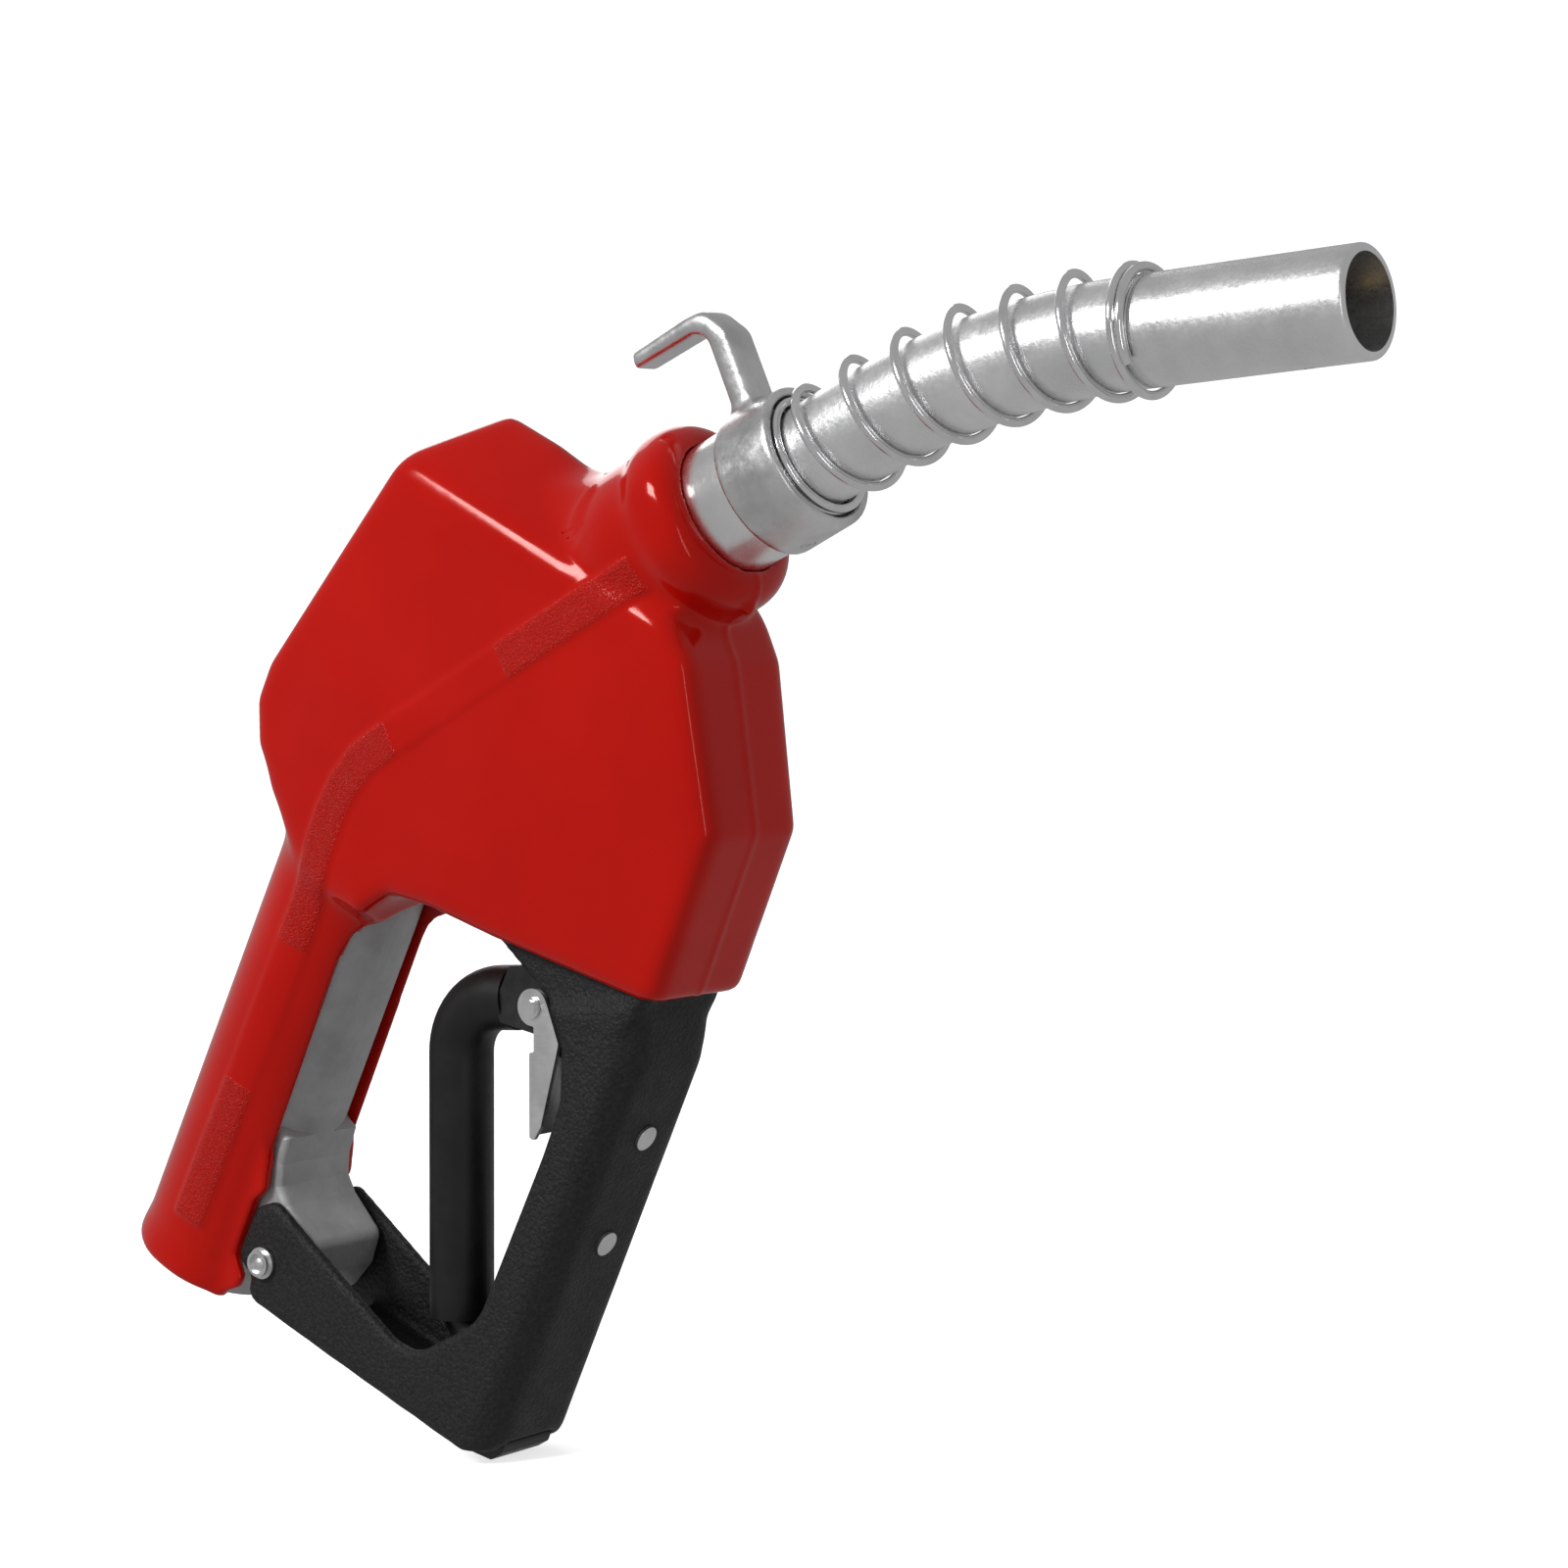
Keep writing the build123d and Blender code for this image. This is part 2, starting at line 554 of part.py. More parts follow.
def spout_spring():
    """Coil lying on the spout: close turns in the collar, open turns, close turns at the front."""
    path = spout_path(start=-6.6)
    total = path.length - END_LEN + 4.9
    turns, steps, first = 9.9, 120, 10
    close, pitch = 2.3, 16.3
    opened = [coil_opened(i * turns / steps, turns) for i in range(steps + 1)]
    rates = [close + (pitch - close) * (opened[i] + opened[i + 1]) / 2 for i in range(steps)]
    points = []
    for i in range(first, steps + 1):
        along = total * sum(rates[:i]) / sum(rates) / path.length
        where, ahead = path @ along, path % along
        out = Vector(-ahead.Z, 0, ahead.X)
        angle = 2 * pi * turns * i / steps + 2.76
        coil_r = SPRING_COIL_R + 0.35 * opened[i]
        lift = out * (coil_r * cos(angle) + 0.6 * opened[i])
        points.append(where + lift - Vector(0, coil_r * sin(angle), 0))
    wire = Spline(*points)
    return sweep(Plane(wire @ 0, z_dir=wire % 0) * Circle(SPRING_WIRE / 2), path=wire, is_frenet=True)


def vent_tube():
    path = spout_path(drop=6.6, start=-45.9, short=18.0)
    return sweep_round(path, 3.2) - sweep_round(path, 2.3)


def vent_elbow():
    """Short fitting joining the vent tube to the hole under the tip."""
    path = spout_path(drop=6.6, short=18.0)
    end = path @ 1
    part = rod(3.2, 0.05, 6.5) + Pos(3.0, 0, 3.3) * Box(0.7, 1.6, 3.0) - rod(1.2, -1, 3.0)
    return Pos(end.X, 0, end.Z) * Rot(0, 90 - END_ANGLE, 0) * part


def check_seat():
    return on_neck(tube(7.95, 4.6, -60.5, -57.5))


def check_poppet():
    return on_neck(cone(4.5, 6.6, -58.0, -55.6) - rod(9, -70, -57.45) + rod(1.5, -55.7, -51.0)
                   + rod(6.6, -55.6, -54.6))


def check_spring():
    coil = Helix(1.2, 2.6, 3.0)
    wire = sweep(Plane(coil @ 0, z_dir=coil % 0) * Circle(0.4), path=coil)
    return on_neck(Pos(0, 0, -54.1) * wire)


def check_guide():
    spokes = Box(15.8, 1.6, 2.0) + Box(1.6, 15.8, 2.0) + Cylinder(3.0, 2.0)
    part = Pos(0, 0, -47.3) * spokes + tube(9.9, 7.6, -48.3, -46.3)
    return on_neck(part - rod(1.6, -60, -40))


NODES = [body_casting, grip_cover, inlet_screen, main_seat, main_poppet, poppet_seal, main_stem,
         main_spring, valve_cap, cap_ring, stem_packing, gland_nut, trip_stem, latch_pin, latch_balls,
         diaphragm, diaphragm_plate, diaphragm_spring, diaphragm_cap, cap_screws, trip_pin, lever,
         lever_sleeve, hold_clip, clip_rivet, guard, guard_screws, guard_bolt, hold_rack, rack_rivets,
         guard_bumper, spout_tube, spout_bushing, bushing_pin, bushing_ring, hook_collar, collar_screw,
         spout_spring, vent_tube, vent_elbow, check_seat, check_poppet, check_spring, check_guide]

for node in NODES:
    export(node(), node.__name__)
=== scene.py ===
import bpy
import json
import math
from functools import reduce
import numpy as np
from mathutils import Matrix, Vector


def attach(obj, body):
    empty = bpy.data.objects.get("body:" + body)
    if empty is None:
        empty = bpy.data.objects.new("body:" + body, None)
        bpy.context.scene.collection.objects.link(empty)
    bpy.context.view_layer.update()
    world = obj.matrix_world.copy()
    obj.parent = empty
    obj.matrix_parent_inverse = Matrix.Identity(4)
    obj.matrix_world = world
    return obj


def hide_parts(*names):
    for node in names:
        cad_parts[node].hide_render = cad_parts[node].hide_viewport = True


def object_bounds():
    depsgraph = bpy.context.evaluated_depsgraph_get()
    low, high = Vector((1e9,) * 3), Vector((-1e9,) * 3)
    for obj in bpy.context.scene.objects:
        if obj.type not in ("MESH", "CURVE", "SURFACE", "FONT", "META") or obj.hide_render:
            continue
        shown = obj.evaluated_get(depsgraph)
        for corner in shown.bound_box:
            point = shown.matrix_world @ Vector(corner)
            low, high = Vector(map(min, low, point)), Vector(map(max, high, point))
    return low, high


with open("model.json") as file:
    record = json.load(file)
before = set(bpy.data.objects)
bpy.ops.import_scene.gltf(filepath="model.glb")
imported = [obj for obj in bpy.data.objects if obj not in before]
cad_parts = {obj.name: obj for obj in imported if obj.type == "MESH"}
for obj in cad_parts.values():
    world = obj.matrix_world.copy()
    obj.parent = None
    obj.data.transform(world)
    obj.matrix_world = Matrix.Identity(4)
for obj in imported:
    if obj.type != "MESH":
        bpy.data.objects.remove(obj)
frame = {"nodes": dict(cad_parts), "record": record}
CAD_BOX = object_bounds()

# The carved pieces are drawn in millimetres with the handle upright: x forward, z up the handle.
# turn() and place() tip them into the row frame.
TILT = math.radians(30.75)
INLET_Z = 5.0
NECK_POINT = (82.1, 268.0)
NECK_ANGLE = math.radians(51.25)
NECK_X, NECK_Z = math.cos(NECK_ANGLE), math.sin(NECK_ANGLE)


def turn(vectors):
    """Directions in the row frame."""
    x, y, z = vectors.T
    c, s = math.cos(TILT), math.sin(TILT)
    return np.stack([x * c + z * s, y, z * c - x * s], axis=1)


def place(points):
    """Points in the row frame, in metres."""
    return turn(points - (0, 0, INLET_Z)) * 0.001


# ---- distance fields ----
class Grid:
    """Sample points of a box, as three arrays that broadcast against each other."""

    def __init__(self, low, high, step):
        self.low = np.array(low, dtype=np.float64)
        self.step = step
        counts = [int(math.ceil((b - a) / step)) + 1 for a, b in zip(low, high)]
        axes = [a + step * np.arange(n) for a, n in zip(low, counts)]
        self.x = axes[0].reshape(-1, 1, 1).astype(np.float32)
        self.y = axes[1].reshape(1, -1, 1).astype(np.float32)
        self.z = axes[2].reshape(1, 1, -1).astype(np.float32)
        self.shape = tuple(counts)


def polygon(px, pz, points):
    """Signed distance to a closed outline, negative inside."""
    best, inside = None, None
    for (ax, az), (bx, bz) in zip(points, points[1:] + points[:1]):
        ex, ez = bx - ax, bz - az
        wx, wz = px - ax, pz - az
        t = np.clip((wx * ex + wz * ez) / (ex * ex + ez * ez), 0, 1)
        d = (wx - ex * t) ** 2 + (wz - ez * t) ** 2
        best = d if best is None else np.minimum(best, d)
        low, high, left = pz >= az, pz < bz, ex * wz > ez * wx
        flip = (low & high & left) | (~low & ~high & ~left)
        inside = flip if inside is None else inside ^ flip
    return np.where(inside, -1, 1) * np.sqrt(best)


def rounded(points, radii):
    """Outline with the corners named in radii, by index, replaced by short arcs."""
    out = []
    for i, corner in enumerate(points):
        r = radii.get(i, 0)
        if not r:
            out.append(corner)
            continue
        p = np.array(corner, dtype=float)
        a, b = [np.array(points[(i + d) % len(points)], dtype=float) - p for d in (-1, 1)]
        a, b = a / np.linalg.norm(a), b / np.linalg.norm(b)
        half = math.acos(float(np.clip(a @ b, -1, 1))) / 2
        middle = p + (a + b) / np.linalg.norm(a + b) * r / math.sin(half)
        first, last = [p + v * r / math.tan(half) - middle for v in (a, b)]
        for k in range(6):
            spoke = first * (1 - k / 5) + last * k / 5
            out.append(tuple(middle + spoke / np.linalg.norm(spoke) * r))
    return out


def line_distance(px, pz, points):
    """Distance to an open line through points."""
    best = None
    for (ax, az), (bx, bz) in zip(points, points[1:]):
        ex, ez = bx - ax, bz - az
        t = np.clip(((px - ax) * ex + (pz - az) * ez) / (ex * ex + ez * ez), 0, 1)
        d = np.hypot(px - ax - ex * t, pz - az - ez * t)
        best = d if best is None else np.minimum(best, d)
    return best


def union(*fields):
    """Union of fields with a sharp valley."""
    return reduce(np.minimum, fields)


def overlap(*fields):
    """Intersection of fields with sharp edges."""
    return reduce(np.maximum, fields)


def join(a, b, k):
    """Union with a soft valley of width k."""
    h = np.maximum(k - np.abs(a - b), 0) / k
    return np.minimum(a, b) - h * h * k / 4


def meet(a, b, k):
    """Intersection with a rounded edge of width k."""
    return -join(-a, -b, k)


def ramp(v, a, b):
    """Smooth step from 0 at a to 1 at b."""
    t = np.clip((v - a) / (b - a), 0, 1)
    return t * t * (3 - 2 * t)


def soften(f, sigma, grid):
    """Gaussian blur of a field over its grid, which rounds edges and valleys alike."""
    f = np.broadcast_to(f, grid.shape).astype(np.float32)
    reach = max(1, int(math.ceil(2.6 * sigma / grid.step)))
    offsets = np.arange(-reach, reach + 1)
    weights = np.exp(-0.5 * (offsets * grid.step / sigma) ** 2)
    weights /= weights.sum()
    for axis in range(3):
        pad = [(reach, reach) if a == axis else (0, 0) for a in range(3)]
        wide = np.pad(f, pad, mode="edge")
        total = np.zeros_like(f)
        for offset, weight in zip(offsets, weights):
            start = offset + reach
            piece = [slice(None)] * 3
            piece[axis] = slice(start, start + f.shape[axis])
            total += np.float32(weight) * wide[tuple(piece)]
        f = total
    return f


def sample(f, grid, points):
    """Trilinear value of a field at points."""
    p = (points - grid.low) / grid.step
    limit = np.array(f.shape) - 2
    cell = np.clip(np.floor(p).astype(int), 0, limit)
    t = p - cell
    total = np.zeros(len(points))
    for i in (0, 1):
        for j in (0, 1):
            for k in (0, 1):
                w = (t[:, 0] if i else 1 - t[:, 0]) * (t[:, 1] if j else 1 - t[:, 1])
                w = w * (t[:, 2] if k else 1 - t[:, 2])
                total += w * f[cell[:, 0] + i, cell[:, 1] + j, cell[:, 2] + k]
    return total


def slope(f, grid, points):
    """Gradient of a field at points."""
    h = grid.step
    parts = []
    for axis in range(3):
        shift = np.zeros(3)
        shift[axis] = h
        parts.append(sample(f, grid, points + shift) - sample(f, grid, points - shift))
    return np.stack(parts, axis=1) / (2 * h)


def skin(f, grid):
    """Quads on the zero level of a field, as points in millimetres and faces."""
    inside = f < 0
    corners = [(i, j, k) for i in (0, 1) for j in (0, 1) for k in (0, 1)]
    n = [s - 1 for s in f.shape]
    count = np.zeros(n, dtype=np.int8)
    for i, j, k in corners:
        count += inside[i:n[0] + i, j:n[1] + j, k:n[2] + k]
    cells = np.argwhere((count > 0) & (count < 8))
    ident = np.full(n, -1, dtype=np.int64)
    ident[cells[:, 0], cells[:, 1], cells[:, 2]] = np.arange(len(cells))
    total = np.zeros((len(cells), 3))
    hits = np.zeros(len(cells))
    edges = [(np.array(p), np.array(q)) for p in corners for q in corners
             if sum(np.subtract(q, p)) == 1 and min(np.subtract(q, p)) == 0]
    for a, b in edges:
        fa = f[tuple((cells + a).T)].astype(np.float64)
        fb = f[tuple((cells + b).T)].astype(np.float64)
        cross = (fa < 0) != (fb < 0)
        t = np.where(cross, fa / np.where(cross, fa - fb, 1), 0)
        total += cross[:, None] * (cells + a + t[:, None] * (b - a))
        hits += cross
    points = grid.low + grid.step * total / hits[:, None]
    faces = []
    for axis in range(3):
        u, v = [a for a in range(3) if a != axis]
        low = [slice(1, -1)] * 3
        low[axis] = slice(0, -1)
        high = list(low)
        high[axis] = slice(1, None)
        starts, ends = inside[tuple(low)], inside[tuple(high)]
        for rising in (False, True):
            mask = (ends & ~starts) if rising else (starts & ~ends)
            edge = np.argwhere(mask)
            edge[:, u] += 1
            edge[:, v] += 1
            ring = []
            for du, dv in ((-1, -1), (0, -1), (0, 0), (-1, 0)):
                at = edge.copy()
                at[:, u] += du
                at[:, v] += dv
                ring.append(ident[tuple(at.T)])
            quad = np.stack(ring, axis=1)
            if rising != (axis == 1):
                quad = quad[:, ::-1]
            faces.append(quad)
    faces = np.concatenate(faces)
    return points, faces[(faces >= 0).all(axis=1)]


def carve(name, f, grid, attributes=None):
    """Object on the zero level of a field; attributes maps names to functions of its points."""
    points, faces = skin(f, grid)
    # pull the points onto the exact surface, by short steps down the gradient
    farthest = 0.4 * grid.step
    for _ in range(3):
        g = slope(f, grid, points)
        length = np.maximum((g * g).sum(axis=1), 0.05)
        step = np.clip(sample(f, grid, points) / length, -farthest, farthest)
        points = points - step[:, None] * g
    normals = slope(f, grid, points)
    normals /= np.maximum(np.linalg.norm(normals, axis=1), 1e-6)[:, None]
    mesh = bpy.data.meshes.new(name)
    mesh.vertices.add(len(points))
    mesh.vertices.foreach_set("co", place(points).astype(np.float32).ravel())
    mesh.loops.add(len(faces) * 4)
    mesh.loops.foreach_set("vertex_index", faces.astype(np.int32).ravel())
    mesh.polygons.add(len(faces))
    mesh.polygons.foreach_set("loop_start", np.arange(0, len(faces) * 4, 4, dtype=np.int32))
    mesh.update(calc_edges=True)
    mesh.validate()
    mesh.polygons.foreach_set("use_smooth", np.ones(len(mesh.polygons), dtype=bool))
    mesh.normals_split_custom_set_from_vertices([Vector(v) for v in turn(normals)])
    for key, mask in (attributes or {}).items():
        layer = mesh.attributes.new(key, "FLOAT", "POINT")
        layer.data.foreach_set("value", mask(points).astype(np.float32))
    obj = bpy.data.objects.new(name, mesh)
    bpy.context.scene.collection.objects.link(obj)
    return obj


# ---- red cover ----
SKIN = 2.6
BODY = [(19, 117.4), (26, 125.6), (38, 129.0), (56, 131.3), (100, 138.6), (103.6, 141), (101.6, 182),
        (80, 214), (70, 222), (42, 226), (26, 234.6), (12, 237.5), (-4, 237.5), (-14.6, 222),
        (-32, 158), (-32, 148), (-27, 138), (-18, 131)]
BLOCK_HALF, FRONT_HALF = 22.0, 17.4
TAPER_X, FRONT_X = 40.0, 103.6
SIDE_LIMIT = 22.3
# each roof plane: its height at a half width, and its fall per millimetre outwards
ROOF = ((219.8, 22, 0.96), (229.6, 12, 0.67))
HANDLE_R, HANDLE_THINNING, HANDLE_FLARE = 21.0, 1.4, 0.7
HANDLE_ROOM_R, HANDLE_FOOT, HANDLE_TOP = 17.2, 5.5, 160
COVER_FOOT = 5.6
# places along the neck are measured forwards from NECK_POINT
NECK_R, NECK_REAR, NECK_SINK = 21.0, -92, 1.6
NECK_ROOM_R, NECK_ROOM_MIDDLE, NECK_ROOM_HALF = 18.4, -64, 28
LIP_FRONT, LIP_FLARE = -29.3, 1.9
BUSHING_R, BUSHING_REAR = 15.8, -45
HANDLE_VALLEY, NECK_VALLEY, EDGE_ROUND = 13.0, 8.0, 5.0

# middle line of the raised stripe, from the neck down to the handle's foot
STRIPE = [(62.4, 230.7), (34.4, 191.7), (11.6, 160), (6.2, 151.5), (3.6, 143), (2.8, 134), (3.4, 121.5),
          (3.2, 100), (2.6, 60), (2.0, 19)]
STRIPE_HALF, STRIPE_HEIGHT = 4.5, 0.55
STRIPE_END, STRIPE_FOOT = (59.5, 226.7), 21.0
UPPER_LENGTH = math.dist(STRIPE[0], STRIPE[1])
UPWARDS = [(a - b) / UPPER_LENGTH for a, b in zip(STRIPE[0], STRIPE[1])]
UPPER_PANEL, LOWER_PANEL, PANEL_EDGE = (0.0, 39.0), (60.0, 100.0), 0.6
SEAM_HEIGHT, SEAM_HALF = 0.32, 0.55
NUB, NUB_R = (78.4, -1.0, 226.8), 1.6

# palm opening: straight up to PALM_SPRING, then an arch of PALM_RISE
PALM_HALF, PALM_SPRING, PALM_RISE, PALM_POWER = 13.6, 96, 25.5, 2.6
PALM_REAR, PALM_FRONT = 6, 42
FOOT_HALF, FOOT_OPENING = 13.4, [(12, -8), (60, -8), (60, 44), (12, 44)]
PLATES_HALF, PLATES_OPENING = 16.6, [(16, -8), (60, -8), (60, 38.5), (21, 38), (16, 33)]
UNDER_HALF, UNDER_OPENING = 14.5, [(44, 90), (101, 90), (101, 157), (50, 157), (44, 140)]
LAP_MIDDLE, LAP_HALF = 14.6, 1.3
LAP = [(12, 6), (14.5, 6), (20, 11.5), (20, 14.5), (15.2, 18.5), (15.2, 33.5), (17.6, 38.0),
       (15.4, 45), (12, 50)]


def neck_coordinates(x, y, z):
    """Distance along the neck's axis, distance below the axis, and radius from it."""
    u, w = x - NECK_POINT[0], z - NECK_POINT[1]
    along = u * NECK_X + w * NECK_Z
    below = u * NECK_Z - w * NECK_X
    return along, below, np.sqrt(below * below + y * y)


def block_field(g, inset):
    """Valve block with its sloping crown, drawn in by inset."""
    flank = np.abs(g.y)
    taper = np.clip((g.x - TAPER_X) / (FRONT_X - TAPER_X), 0, 1)
    side = flank - BLOCK_HALF - (FRONT_HALF - BLOCK_HALF) * taper + inset
    walls = meet(polygon(g.x, g.z, BODY) + inset, side, EDGE_ROUND)
    planes = [(g.z - top + fall * (flank - half)) / math.hypot(1, fall) + inset for top, half, fall in ROOF]
    return meet(walls, meet(*planes, EDGE_ROUND), 4.0)


def handle_field(g, radius, low):
    """Upright cylinder of the handle, up into the block."""
    return overlap(np.sqrt(g.x * g.x + g.y * g.y) - radius, low - g.z, g.z - HANDLE_TOP)


def cover_outside(g):
    """Outer skin of the cover: block, handle and neck run into one another."""
    along, below, radius = neck_coordinates(g.x, g.y, g.z)
    flank = np.abs(g.y)
    # the handle thins upwards and flares at its foot
    width = HANDLE_R - HANDLE_THINNING * np.clip((g.z - 5) / 145, 0, 1) + HANDLE_FLARE * ramp(g.z, 15, 7)
    body = join(block_field(g, 0), handle_field(g, width, HANDLE_FOOT), HANDLE_VALLEY)
    # the neck swells to its lip, and narrows where it is sunk into the block
    swell = LIP_FLARE * ramp(along, -45, -38.5)
    sink = NECK_SINK * ramp(-along, 50, 64) * ramp(flank, 8, 18)
    neck = meet(overlap(radius - NECK_R - swell + sink, NECK_REAR - along), along - LIP_FRONT, 8.0)
    # the valley between them is tight beside the sunken part
    sunken = ramp(-along, 44, 56) * ramp(flank, 9, 17)
    valley = (NECK_VALLEY - 2.5 * ramp(below, -8, 12)) * (1 - 0.85 * sunken)
    return meet(join(body, neck, valley), flank - SIDE_LIMIT, 2.0)


def cover_inside(g):
    """What the cover leaves free: the room for the casting, and the openings."""
    along, _, radius = neck_coordinates(g.x, g.y, g.z)
    flank = np.abs(g.y)
    neck = overlap(radius - NECK_ROOM_R, np.abs(along - NECK_ROOM_MIDDLE) - NECK_ROOM_HALF)
    bushing = overlap(radius - BUSHING_R, BUSHING_REAR - along)
    height = np.maximum(g.z - PALM_SPRING, 0) / PALM_RISE
    arch = ((flank / PALM_HALF) ** PALM_POWER + height ** PALM_POWER) ** (1 / PALM_POWER)
    palm = overlap((arch - 1) * 13.0, PALM_REAR - g.x, g.x - PALM_FRONT)
    foot = overlap(flank - FOOT_HALF, polygon(g.x, g.z, FOOT_OPENING))
    plates = overlap(flank - PLATES_HALF, polygon(g.x, g.z, PLATES_OPENING))
    under = overlap(flank - UNDER_HALF, polygon(g.x, g.z, UNDER_OPENING))
    casting = union(block_field(g, SKIN), handle_field(g, HANDLE_ROOM_R, 0), neck)
    return union(casting, bushing, palm, foot, plates, under)


def stripe_distance(x, z):
    """Distance to the edge of the stripe, negative on it."""
    band = line_distance(x, z, STRIPE) - STRIPE_HALF
    above_end = (x - STRIPE_END[0]) * UPWARDS[0] + (z - STRIPE_END[1]) * UPWARDS[1]
    return overlap(band, above_end, STRIPE_FOOT - z)


def panel_mask(x, z):
    """1 on the two plain panels of the stripe."""
    down = (STRIPE[1][0] - x) * UPWARDS[0] + (STRIPE[1][1] - z) * UPWARDS[1]
    upper = ramp(down, UPPER_PANEL[0] - PANEL_EDGE, UPPER_PANEL[0])
    upper = upper * ramp(down, UPPER_PANEL[1], UPPER_PANEL[1] - PANEL_EDGE)
    lower = ramp(z, LOWER_PANEL[0], LOWER_PANEL[0] + PANEL_EDGE)
    lower = lower * ramp(z, LOWER_PANEL[1], LOWER_PANEL[1] - PANEL_EDGE)
    return np.maximum(upper, lower)


def grain_at(points):
    """1 where the stripe has its coarse grain."""
    x, y, z = points.T
    on_stripe = ramp(stripe_distance(x, z), 0.1, -0.7)
    return on_stripe * ramp(np.abs(y), 11.0, 13.0) * (1 - panel_mask(x, z))


def cover_relief(g):
    """Height of the stripe, lower on its panels, and of the moulding seam down the front."""
    stripe = STRIPE_HEIGHT * ramp(stripe_distance(g.x, g.z), 0.35, -0.35)
    stripe = stripe * (1 - 0.3 * panel_mask(g.x, g.z)) * ramp(np.abs(g.y), 9.0, 12.0)
    seam = SEAM_HEIGHT * ramp(g.x, 62, 75) * np.exp(-(g.y / SEAM_HALF) ** 2)
    return stripe + seam


def make_cover():
    g = Grid((-37, -25.5, 1), (113, 25.5, 263), 0.85)
    outside = soften(cover_outside(g), 0.9, g) - cover_relief(g)
    nub = np.sqrt((g.x - NUB[0]) ** 2 + (g.y - NUB[1]) ** 2 + (g.z - NUB[2]) ** 2) - NUB_R
    shell = overlap(join(outside, nub, 1.2), -cover_inside(g))
    # thin flaps lap over the sides of the lug, beside the guard plates
    lap = overlap(polygon(g.x, g.z, LAP), np.abs(np.abs(g.y) - LAP_MIDDLE) - LAP_HALF)
    shell = overlap(join(shell, lap, 1.5), COVER_FOOT - g.z)
    return carve("red_vinyl_cover", soften(shell, 0.42, g), g, {"grain": grain_at})


# ---- guard ----
PLATE_OUT, PLATE_IN = 16.0, 13.0
GUARD = rounded([(25.5, 10.8), (50, 12.2), (98, 15.3), (105.6, 18.5), (105.2, 40), (103.5, 121.5),
                 (102.3, 127), (99.6, 136.5), (99.2, 141), (96, 141), (96, 135.5), (76.5, 124.0),
                 (83.3, 117.2), (88.3, 105.7), (89.2, 91.7), (89, 46), (76, 28.6), (68, 28.0),
                 (50, 31.6), (21.5, 37.6), (16.6, 33), (16.2, 20), (18, 17.6), (22.3, 16.2), (23, 12.5)],
                {2: 4, 3: 5, 5: 8, 6: 8, 12: 4, 13: 9, 14: 9, 15: 14, 16: 9, 17: 5, 19: 2.5, 20: 3})
GUARD_HOLLOW = [(0, 0), (40, 0), (40, 14.8), (80, 17.2), (80, 0), (101.0, 0), (101.0, 18.5),
                (102.0, 30), (100.4, 120), (97.9, 127), (97.9, 160), (0, 160)]
FRONT_LINE = ((0, 106), (18, 105.6), (40, 105.2), (121.5, 103.5), (127, 102.3), (136.5, 99.6), (160, 97))
FRONT_BEVEL = 4.2
FLARE = [(53.8, 130.5), (76.5, 124.3), (96, 130), (99.0, 136), (99.0, 156), (54, 156)]
FLARE_MIDDLE, FLARE_HALF = 13.1, 1.3
WEB_RECESS_HALF, WEB_RECESS_REAR, WEB_RECESS_TOP = 8.8, 98, 20.6
# above this crease the plates slant inwards to the flare
CREASE_POINT, CREASE_RUN, PLATE_SLANT = (75.9, 124.4), (0.862, 0.507), 0.5
PLATE_HOLES, PLATE_HOLE_R = ((25.0, 22.0), (62.0, 151.0)), 2.6
RIVET_HEIGHTS, RIVET_HOLE_R, RIVET_HOLE_REAR = (103.4, 74.9), 1.85, 95


def make_guard():
    g = Grid((13, -18.5, 8), (109, 18.5, 159), 0.8)
    flank = np.abs(g.y)
    front = g.x - np.interp(g.z, *zip(*FRONT_LINE))
    rise = (g.z - CREASE_POINT[1]) * CREASE_RUN[0] - (g.x - CREASE_POINT[0]) * CREASE_RUN[1]
    plates = meet(polygon(g.x, g.z, GUARD), flank - PLATE_OUT, 1.6)
    plates = meet(plates, (front + flank - PLATE_OUT + FRONT_BEVEL) / math.sqrt(2), 2.5)
    plates = meet(plates, (flank - PLATE_OUT + PLATE_SLANT * rise) / math.hypot(1, PLATE_SLANT), 0.8)
    hollow = overlap(polygon(g.x, g.z, GUARD_HOLLOW), flank - PLATE_IN)
    recess = overlap(flank - WEB_RECESS_HALF, WEB_RECESS_REAR - g.x, g.z - WEB_RECESS_TOP)
    flare = overlap(polygon(g.x, g.z, FLARE), np.abs(flank - FLARE_MIDDLE) - FLARE_HALF)
    field = join(overlap(plates, -hollow, -recess), flare, 3.0)
    for x, z in PLATE_HOLES:
        field = overlap(field, PLATE_HOLE_R - np.hypot(g.x - x, g.z - z))
    for z in RIVET_HEIGHTS:
        hole = overlap(np.hypot(g.y, g.z - z) - RIVET_HOLE_R, RIVET_HOLE_REAR - g.x)
        field = overlap(field, -hole)
    return carve("guard_moulding", soften(field, 0.75, g), g)


# ---- collar with the hook ----
COLLAR_R, COLLAR_DRAFT, COLLAR_BACK = 17.2, 0.012, -19
COLLAR_MIDDLE, COLLAR_HALF = -11, 8.0
SPOUT_ROOM_R, SPRING_ROOM_R, SPRING_ROOM_BACK = 12.0, 14.75, -9.5
# outline of the hook: distance below the neck's axis, distance along it
HOOK = rounded([(-12, -17.6), (-12, -10.8), (-34.5, -10.4), (-42, -15), (-42.6, -20.5), (-42.3, -37.5),
                (-38.6, -38.4), (-38.2, -20.5), (-36.0, -17.0)], {2: 4.5, 3: 6, 7: 2.5, 8: 3.5})
HOOK_HALF, HOOK_DRAFT = 5.0, 0.035
SET_SCREW_AT, SET_SCREW_R = -14.0, 1.6


